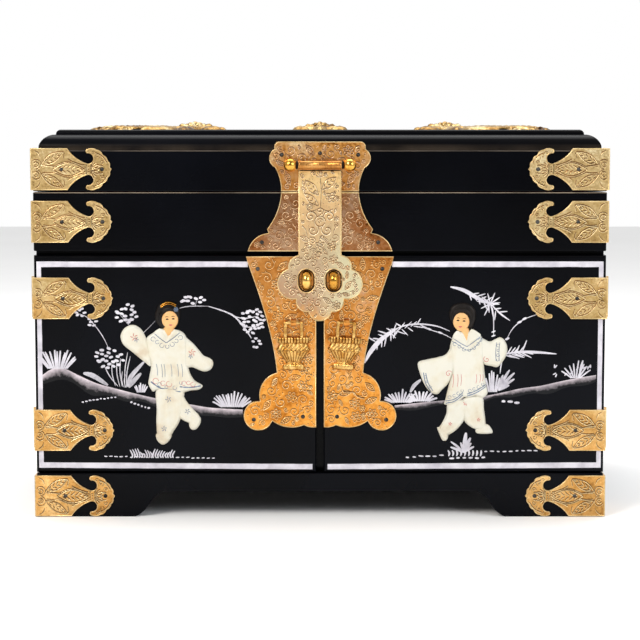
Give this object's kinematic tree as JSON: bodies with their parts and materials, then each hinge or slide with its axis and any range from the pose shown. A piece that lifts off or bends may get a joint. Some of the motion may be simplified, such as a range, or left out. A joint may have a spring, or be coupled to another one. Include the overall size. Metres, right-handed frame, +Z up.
{
  "type": "jewelry chest",
  "caption": "Black lacquered jewelry chest with engraved brass mounts, a hinged mirrored lid over a lined tray, and doors over small drawers.",
  "frame": {"origin": "on the floor, under the middle of the whole chest, hasp and hinges included", "axes": "+Z up, +X along the width, and the doors and the hasp face -Y"},
  "size_m": [0.3054, 0.2028, 0.2089],
  "materials": {
    "lacquer": "gloss",
    "drawer_lacquer": "gloss",
    "velvet": "matte",
    "strap_brass": "satin",
    "polished_brass": "polished",
    "rosy_brass": "satin",
    "golden_brass": "satin",
    "pale_brass": "satin",
    "carving_brass": "satin",
    "nail_steel": "satin",
    "mirror": "polished",
    "soapstone": "satin"
  },
  "bodies": {
    "case": {"apron_front": "lacquer", "apron_back": "lacquer", "apron_sides": "lacquer", "base_board": "lacquer", "case_floor": "lacquer", "case_side_left": "lacquer", "case_side_right": "lacquer", "case_back": "lacquer", "case_partition": "lacquer", "drawer_shelves": "lacquer", "case_top": "lacquer", "tray_walls": "lacquer", "tray_lining": "velvet", "ring_pad": "velvet", "tray_dividers": "velvet", "tray_corner_straps": "strap_brass", "base_corner_straps": "strap_brass", "case_hinge_leaves": "strap_brass", "hinge_pins": "polished_brass", "lid_hinge_tray_leaves": "polished_brass", "tray_plate": "rosy_brass", "case_nails": "nail_steel"},
    "lid": {"lid_rails": "lacquer", "lid_top": "lacquer", "lid_mirror": "mirror", "lid_lining": "velvet", "lid_carvings": "carving_brass", "lid_corner_straps": "strap_brass", "lid_hinge_lid_leaves": "polished_brass", "lid_plate": "rosy_brass", "hasp_pin": "polished_brass", "lid_nails": "nail_steel"},
    "hasp": {"hasp": "pale_brass"},
    "door_left": {"door_panel_left": "lacquer", "door_left_straps": "strap_brass", "door_plate_left": "golden_brass", "staple_left": "polished_brass", "figure_left": "soapstone", "door_left_nails": "nail_steel"},
    "pull_left": {"pull_left": "golden_brass"},
    "drawer_lower_left": {"drawer_lower_left": "drawer_lacquer", "drawer_lower_left_lining": "velvet", "drawer_lower_left_knob": "polished_brass"},
    "drawer_upper_left": {"drawer_upper_left": "drawer_lacquer", "drawer_upper_left_lining": "velvet", "drawer_upper_left_knob": "polished_brass"},
    "door_right": {"door_panel_right": "lacquer", "door_right_straps": "strap_brass", "door_plate_right": "golden_brass", "staple_right": "polished_brass", "figure_right": "soapstone", "door_right_nails": "nail_steel"},
    "pull_right": {"pull_right": "golden_brass"},
    "drawer_lower_right": {"drawer_lower_right": "drawer_lacquer", "drawer_lower_right_lining": "velvet", "drawer_lower_right_knob": "polished_brass"},
    "drawer_upper_right": {"drawer_upper_right": "drawer_lacquer", "drawer_upper_right_lining": "velvet", "drawer_upper_right_knob": "polished_brass"}
  },
  "joints": [
    {"name": "lid_hinge", "type": "hinge", "parent": "case", "child": "lid", "pos_m": [0, 0.099, 0.17195], "axis": [-1, 0, 0], "range_deg": [0, 100]},
    {"name": "hasp_hinge", "type": "hinge", "parent": "lid", "child": "hasp", "pos_m": [0, -0.0979, 0.1859], "axis": [-1, 0, 0], "range_deg": [0, 200]},
    {"name": "door_left_hinge", "type": "hinge", "parent": "case", "child": "door_left", "pos_m": [-0.151, -0.08315, 0.08125], "axis": [0, 0, -1], "range_deg": [0, 175]},
    {"name": "pull_left_hinge", "type": "hinge", "parent": "door_left", "child": "pull_left", "pos_m": [-0.0139, -0.0968, 0.1036], "axis": [-1, 0, 0], "range_deg": [0, 90]},
    {"name": "drawer_lower_left_slide", "type": "slide", "parent": "case", "child": "drawer_lower_left", "axis": [0, -1, 0], "range_m": [0, 0.0735]},
    {"name": "drawer_upper_left_slide", "type": "slide", "parent": "case", "child": "drawer_upper_left", "axis": [0, -1, 0], "range_m": [0, 0.0735]},
    {"name": "door_right_hinge", "type": "hinge", "parent": "case", "child": "door_right", "pos_m": [0.151, -0.08315, 0.08125], "axis": [0, 0, 1], "range_deg": [0, 175]},
    {"name": "pull_right_hinge", "type": "hinge", "parent": "door_right", "child": "pull_right", "pos_m": [0.0139, -0.0968, 0.1036], "axis": [-1, 0, 0], "range_deg": [0, 90]},
    {"name": "drawer_lower_right_slide", "type": "slide", "parent": "case", "child": "drawer_lower_right", "axis": [0, -1, 0], "range_m": [0, 0.0735]},
    {"name": "drawer_upper_right_slide", "type": "slide", "parent": "case", "child": "drawer_upper_right", "axis": [0, -1, 0], "range_m": [0, 0.0735]}
  ],
  "couplings": [
    {"joint": "drawer_lower_left_slide", "follows": "door_left_hinge", "m_per_rad": 0.024},
    {"joint": "drawer_upper_left_slide", "follows": "door_left_hinge", "m_per_rad": 0.024},
    {"joint": "drawer_lower_right_slide", "follows": "door_right_hinge", "m_per_rad": 0.024},
    {"joint": "drawer_upper_right_slide", "follows": "door_right_hinge", "m_per_rad": 0.024}
  ]
}
